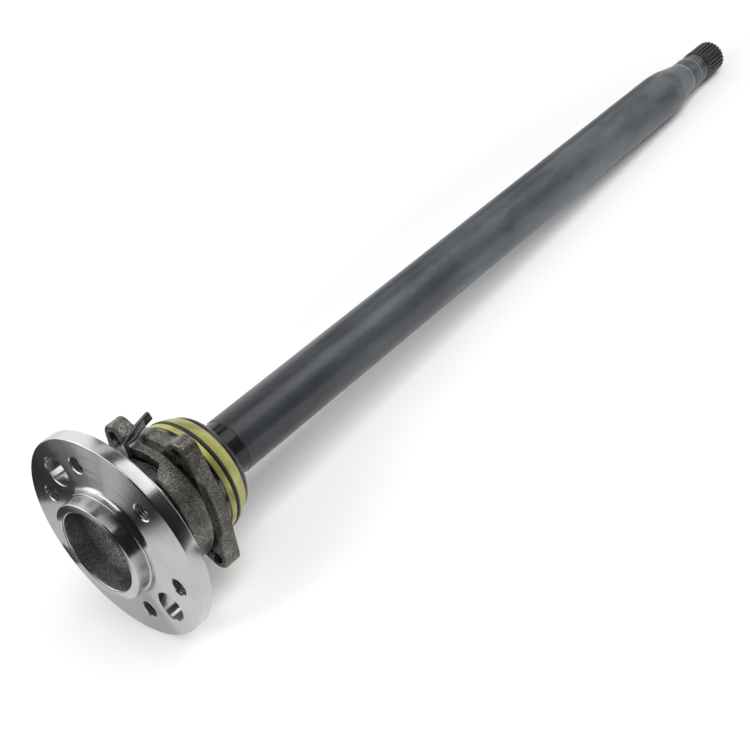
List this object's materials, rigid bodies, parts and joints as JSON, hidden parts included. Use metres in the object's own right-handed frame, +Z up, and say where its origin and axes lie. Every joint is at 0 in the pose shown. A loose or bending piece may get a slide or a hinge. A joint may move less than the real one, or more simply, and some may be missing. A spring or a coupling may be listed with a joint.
{
  "type": "rear axle drive shaft",
  "caption": "Rear axle half shaft with a forged wheel flange and pilot, a splined inner end, and a cast bearing housing with seals, seal carrier and sensor bracket.",
  "frame": {"origin": "centre of the wheel mounting face, on the axis of the shaft", "axes": "+X along the shaft from the wheel face towards the splines, +Z up through the middle of the sensor notch, +Y to the side by the right-hand rule"},
  "size_m": [0.9185, 0.175, 0.175],
  "materials": {
    "turned_steel": "turned bright flange and pilot, satin dark shaft",
    "forged_black": "dark pressed sheet",
    "encoder_steel": "plain pressed steel",
    "encoder_rubber": "smooth black rubber with magnetic filler",
    "bearing_steel": "ground hardened steel",
    "cage_steel": "pressed steel sheet",
    "spring_steel": "dark spring steel",
    "cast_iron": "rough as cast, mottled warm grey",
    "yellow_zinc": "yellow passivated zinc plate",
    "ring_rubber": "matte black rubber",
    "seal_black": "smooth black coated steel",
    "bracket_black": "satin black coat"
  },
  "bodies": {
    "housing": {"bearing_housing": "cast_iron", "bearing_outer_race": "bearing_steel", "bearing_circlip": "spring_steel", "seal_carrier": "yellow_zinc", "carrier_o_ring": "ring_rubber", "inner_seal_case": "seal_black", "inner_seal_lip": "ring_rubber", "inner_seal_spring": "spring_steel", "outer_seal_case": "encoder_steel", "outer_seal_lip": "ring_rubber", "outer_seal_spring": "spring_steel", "sensor_bracket": "bracket_black"},
    "shaft": {"axle_shaft": "turned_steel", "deflector_ring": "forged_black", "encoder_hoop": "encoder_steel", "encoder_rubber": "encoder_rubber", "inner_race_outboard": "bearing_steel", "inner_race_inboard": "bearing_steel", "lock_collar": "bearing_steel"},
    "outboard_cage": {"cage_outboard": "cage_steel", "rollers_outboard": "bearing_steel"},
    "inboard_cage": {"cage_inboard": "cage_steel", "rollers_inboard": "bearing_steel"}
  },
  "joints": [
    {"name": "shaft_spin", "type": "hinge", "parent": "housing", "child": "shaft", "pos_m": [0, 0, 0], "axis": [1, 0, 0], "continuous": true},
    {"name": "outboard_cage_spin", "type": "hinge", "parent": "housing", "child": "outboard_cage", "pos_m": [0.06, 0, 0], "axis": [1, 0, 0], "continuous": true},
    {"name": "inboard_cage_spin", "type": "hinge", "parent": "housing", "child": "inboard_cage", "pos_m": [0.076, 0, 0], "axis": [1, 0, 0], "continuous": true}
  ],
  "couplings": [
    {"joint": "outboard_cage_spin", "follows": "shaft_spin", "ratio": 0.4473},
    {"joint": "inboard_cage_spin", "follows": "shaft_spin", "ratio": 0.4473}
  ]
}
